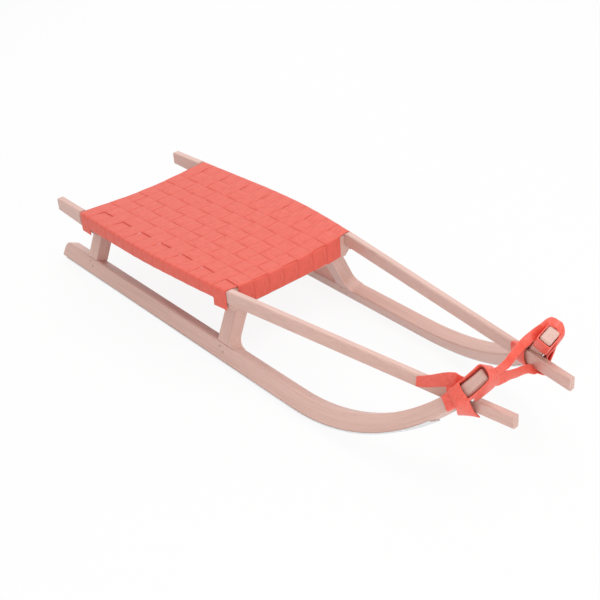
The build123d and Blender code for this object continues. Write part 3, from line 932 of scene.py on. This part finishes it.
# %% [markdown]
# On the right horn the strap is a loose hood. It stands a few millimetres off the wood, and its inner
# side is drawn down by the pull towards the other horn, so it is told by angles and rises round the horn.
# The strap's free end leaves the horn for the rail, so it is told by places in the sled's frame.

# %% Hood and loose end
HOOD_WIDTH = 0.0300
HOOD_OUT = 0.0025
HOOD_TILT = 0.20
HOOD_FRONT = ((55.3, -0.0040), (57.0, -0.0046), (59.5, -0.0050), (61.6, -0.0048))
HOOD_CAP = ((62.5, -0.0042), (63.2, -0.0006), (63.6, 0.0098), (63.25, 0.0200), (62.55, 0.0238))
HOOD_BACK = ((61.6, 0.0242), (60.0, 0.0246), (57.5, 0.0250), (55.5, 0.0254))
TAIL_WIDTH = 0.0215
TAIL_UP = Vector((0, 0.10, 0.99))
TAIL_LINE = ((0.4975, -0.0765, 0.1770), (0.4893, -0.0820, 0.1792), (0.4839, -0.0850, 0.1802),
             (0.4724, -0.0880, 0.1761), (0.4603, -0.0905, 0.1707), (0.4394, -0.0930, 0.1590),
             (0.4129, -0.0958, 0.1463))
TAIL_SPREAD = (-0.25, -0.05, 0.15, 0.22, 0.15, 0.05, -0.15)


def hood(hand):
    """Up the front of a horn, over its end and down the back."""
    out = outwards(hand)
    tilted = (out + HOOD_TILT * along_bend(hand, HORN_END)).normalized()
    stops = []
    for part, side in ((HOOD_FRONT, out), (HOOD_CAP, tilted), (HOOD_BACK, out)):
        stops += [(on_runner(hand, degrees, rise, HOOD_OUT), side, 0.0) for degrees, rise in part]
    return stops


def loose_end():
    """The strap's free end, standing on edge from the back of the right horn to the rail's outer face."""
    return [(Vector(place), TAIL_UP, spread) for place, spread in zip(TAIL_LINE, TAIL_SPREAD)]


straps.append(strap("horn_hood", "tow_strap", hood(-1), HOOD_WIDTH))
straps.append(strap("loose_end", "tow_strap", loose_end(), TAIL_WIDTH))
print("the loose end is", round(line_length([Vector(place) for place in TAIL_LINE]), 3), "m long")

# %% [markdown]
# A small steel rivet holds the hood's front. There is only one, so a tree of nodes would be more work
# than it saves: its profile, from the rim to the top of the dome, is turned about its own line in code.

# %% Rivet on the hood
RIVET_RIM = 0.0034
RIVET_PROFILE = ((RIVET_RIM, 0.0), (RIVET_RIM, 0.0006), (0.0029, 0.0010), (0.0025, 0.0015), (0.0016, 0.0022))
RIVET_TOP = 0.0025
RIVET_STEPS = 20
RIVET_ANGLE = 56.0
RIVET_RISE = -0.0052
RIVET_OUT = 0.006


def rivet_faces(rows):
    """The rim's underside, the rings between the rows, and the triangles round the top."""
    faces = [tuple(reversed(range(RIVET_STEPS)))]
    for row in range(rows):
        for step in range(RIVET_STEPS):
            following = (step + 1) % RIVET_STEPS
            low = row * RIVET_STEPS
            high = low + RIVET_STEPS
            if row < rows - 1:
                faces.append((low + step, low + following, high + following, high + step))
            else:
                faces.append((low + step, low + following, high))
    return faces


def rivet(name, place, direction):
    """A small domed rivet with a flat rim."""
    turn = direction.to_track_quat("Z", "Y")
    points = []
    for radius, height in RIVET_PROFILE:
        for step in range(RIVET_STEPS):
            angle = 2 * pi * step / RIVET_STEPS
            points.append(place + turn @ Vector((radius * cos(angle), radius * sin(angle), height)))
    points.append(place + turn @ Vector((0, 0, RIVET_TOP)))
    mesh = bpy.data.meshes.new(name)
    mesh.from_pydata([tuple(point) for point in points], [], rivet_faces(len(RIVET_PROFILE)))
    mesh.materials.append(steel)
    piece = bpy.data.objects.new(name, mesh)
    scene.collection.objects.link(piece)
    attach(piece, "root")
    return piece


rivet_place = on_runner(-1, RIVET_ANGLE, RIVET_RISE, RIVET_OUT)
hood_rivet = rivet("hood_rivet", rivet_place, -to_centre(-1, RIVET_ANGLE))
print("faces of the rivet:", len(hood_rivet.data.polygons))

# %% [markdown]
# From the hood the strap crosses to the left horn. There it is slit along its middle, and the two sides
# part: one runs straight to the back of the horn, goes round its end and comes down its front, and
# passes under the rail, where it comes back as the other side. One line can follow all of that, so both
# sides are a single ribbon that turns and narrows on its way.

# %% Slit strap from horn to horn
BRANCH_WIDTH = 0.0175
RING_GAP = 0.0016
RING_SHARE = 0.4
RING_OUT = RUNNER_HALF + RING_GAP + BRANCH_WIDTH * RING_SHARE
HORN_TURN = 61.0
UPRIGHT = Vector((-0.30, 0, 0.95))
FACED = Vector((-0.68, -0.14, 0.72))
SLANTED = Vector((-0.31, 0.45, 0.84))
UNDER_RAIL = Vector((-0.98, 0.1, 0))
BACKWARDS = Vector((-1, 0, 0))
UPPER_START = ((0.5300, -0.0560, 0.2050), (0.5335, -0.0480, 0.2019))
UPPER_SPAN = ((0.5267, -0.0200, 0.1959), (0.5160, 0.0050, 0.1907), (0.5104, 0.0250, 0.1922),
              (0.5068, 0.0450, 0.1948))
UPPER_START_SPREAD = -0.30
UPPER_SPREAD = -0.20
LOWER_START = (0.5120, 0.0635, 0.1365)
LOWER_SPAN = ((0.5146, 0.0480, 0.1470), (0.5207, 0.0250, 0.1585), (0.5257, 0.0050, 0.1666),
              (0.5308, -0.0150, 0.1763))
LOWER_END = ((0.5350, -0.0360, 0.1845), (0.5374, -0.0520, 0.1895), (0.5360, -0.0600, 0.1925))
LOWER_SPREAD = -0.15
LOWER_END_SPREAD = 0.05


def round_left_horn():
    """The stops behind the left horn, over its end, down its front and under the rail."""
    axis = along_bend(1, HORN_TURN)
    rear_way = to_centre(1, HORN_TURN)
    out = outwards(1)
    down_front = (0.89 * out - 0.455 * axis).normalized()
    arriving = (axis * 0.6 + rear_way * 0.5 + FACED * 0.4).normalized()
    behind = (axis * 0.75 + rear_way * 0.65).normalized()
    turning = (axis * 0.4 + rear_way * 0.5 + out * 0.7).normalized()
    leaving = (out - rear_way * 0.3 - axis * 0.3).normalized()
    return [
        (on_runner(1, 60.2, 0.0300, -0.006), arriving, 0.0),
        (on_runner(1, 61.5, 0.0270, 0.006), behind, -0.1),
        (on_runner(1, 61.9, 0.0235, RING_OUT * 0.85), turning, -0.1),
        (on_runner(1, 62.1, 0.0150, RING_OUT), out, -0.2),
        (on_runner(1, 62.0, 0.0070, RING_OUT), out, -0.2),
        (on_runner(1, 61.3, -0.0015, RING_OUT * 0.68), leaving, -0.2),
        (on_runner(1, 59.5, -0.0052, 0.006), down_front, 0.0),
        (on_runner(1, 56.0, -0.0056, -0.005), down_front, 0.0),
        (on_runner(1, 52.5, -0.0070, -0.009), (down_front + BACKWARDS).normalized(), 0.0),
        (on_rail(1, 1.094, 0.95, -0.10), UNDER_RAIL, -0.1),
    ]


def slit_strap():
    """The two sides of the slit, as one line from the hood round the left horn and back."""
    stops = [(Vector(place), UPRIGHT, UPPER_START_SPREAD) for place in UPPER_START]
    stops += [(Vector(place), FACED, UPPER_SPREAD) for place in UPPER_SPAN]
    stops += round_left_horn()
    stops += [(Vector(LOWER_START), (UNDER_RAIL + SLANTED).normalized(), 0.0)]
    stops += [(Vector(place), SLANTED, LOWER_SPREAD) for place in LOWER_SPAN]
    stops += [(Vector(place), UPRIGHT, LOWER_END_SPREAD) for place in LOWER_END]
    return stops


straps.append(strap("slit_strap", "tow_strap", slit_strap(), BRANCH_WIDTH))
print("stops of the slit strap:", len(slit_strap()))

# %% [markdown]
# A broad band closes the slit strap at the left horn. It is a plain turn round the wood, square with eased
# corners, because it is pulled tight.

# %% Closing band on the left horn
CLOSING_MIDDLE = 59.55
CLOSING_WIDTH = 0.0335
CLOSING_OFF = 0.0019
CLOSING_CORNER = 0.0030


def closing_band(hand):
    """A broad turn round a horn, from just under its end down to the rail."""
    depth = depth_at(radians(CLOSING_MIDDLE))
    half = depth / 2 + CLOSING_OFF
    side = RUNNER_HALF + CLOSING_OFF
    bare = CLOSING_CORNER
    corners = ((half, side - bare), (half - bare, side), (bare - half, side), (-half, side - bare),
               (-half, bare - side), (bare - half, -side), (half - bare, -side), (half, bare - side))
    ring = corners + (corners[0],)
    width_way = along_bend(hand, CLOSING_MIDDLE)
    return [(on_runner(hand, CLOSING_MIDDLE, depth / 2 + rise, out), width_way, 0.0) for rise, out in ring]


straps.append(strap("closing_band", "tow_strap", closing_band(1), CLOSING_WIDTH))
print("strap pieces:", len(straps), "faces:", sum(len(piece.data.polygons) for piece in straps))

# %% [markdown]
# The stage is a pale floor that fades into a white world. More light could make the floor white too, but
# it would bleach the wood. So rays that look at the background see plain white, and a small share of the
# floor's real shading keeps the sled's soft shadow.

# %% Floor and world
FLOOR_SIZE = 30.0
FLOOR_COLOUR = (0.86, 0.86, 0.86, 1)
FLOOR_ROUGHNESS = 0.9
SHADOW_SHARE = 0.10
WHITE = (1, 1, 1, 1)
WORLD_LIGHT = 0.62


def seen_directly(tree):
    """1 for rays that see the background, straight or in something shiny, and 0 for rays of light."""
    rays = tree.nodes.new("ShaderNodeLightPath").outputs
    mirrored = math_node(tree, "MAXIMUM", rays["Is Glossy Ray"], rays["Is Transmission Ray"])
    return math_node(tree, "MAXIMUM", rays["Is Camera Ray"], mirrored)


def make_floor():
    material, tree, shader = new_material("pale_floor", Roughness=FLOOR_ROUGHNESS, Base_Color=FLOOR_COLOUR)
    white = result_of(tree, "ShaderNodeEmission", {"Color": WHITE, "Strength": 1.0})
    share = math_node(tree, "MULTIPLY", seen_directly(tree), 1 - SHADOW_SHARE)
    mixed = result_of(tree, "ShaderNodeMixShader", {0: share, 1: shader.outputs[0], 2: white})
    tree.links.new(mixed, tree.nodes["Material Output"].inputs["Surface"])
    half = FLOOR_SIZE / 2
    corners = [(-half, -half, 0), (half, -half, 0), (half, half, 0), (-half, half, 0)]
    mesh = bpy.data.meshes.new("floor")
    mesh.from_pydata(corners, [], [(0, 1, 2, 3)])
    mesh.materials.append(material)
    floor = bpy.data.objects.new("floor", mesh)
    scene.collection.objects.link(floor)


def make_world():
    world = bpy.data.worlds.new("studio")
    world.use_nodes = True
    tree = world.node_tree
    background = tree.nodes["Background"]
    strength = brought_to(tree, seen_directly(tree), WORLD_LIGHT, 1.0)
    tree.links.new(strength, background.inputs["Strength"])
    background.inputs["Color"].default_value = WHITE
    scene.world = world


make_floor()
make_world()
print("the floor is", FLOOR_SIZE, "m wide")

# %% [markdown]
# Four lamps light the sled: a key from above, one behind for the tops of the rails, one from the near
# side, and one from the front for the straps and the seat's front edge. Small lamps would draw hard
# shadows of the weave, so all four are wide.

# %% Lamps
LAMPS = (
    ("key", (0.7, 0.4, 2.7), (0, 0, 0.1), 1.6, 26.0),
    ("back", (-1.7, 1.3, 1.7), (0.1, 0, 0.1), 1.6, 13.0),
    ("side", (1.2, -2.4, 1.2), (0.1, 0, 0.1), 1.6, 11.0),
    ("front", (2.6, -0.6, 1.0), (0.1, 0, 0.1), 1.4, 15.0),
)


def lamp(name, place, target, size, power):
    data = bpy.data.lights.new(name, "AREA")
    data.size = size
    data.energy = power
    light = bpy.data.objects.new(name, data)
    light.location = place
    light.rotation_euler = (Vector(target) - Vector(place)).to_track_quat("-Z", "Y").to_euler()
    scene.collection.objects.link(light)


for row in LAMPS:
    lamp(*row)
scene.view_settings.view_transform = "Standard"
print("lamps:", len(LAMPS))
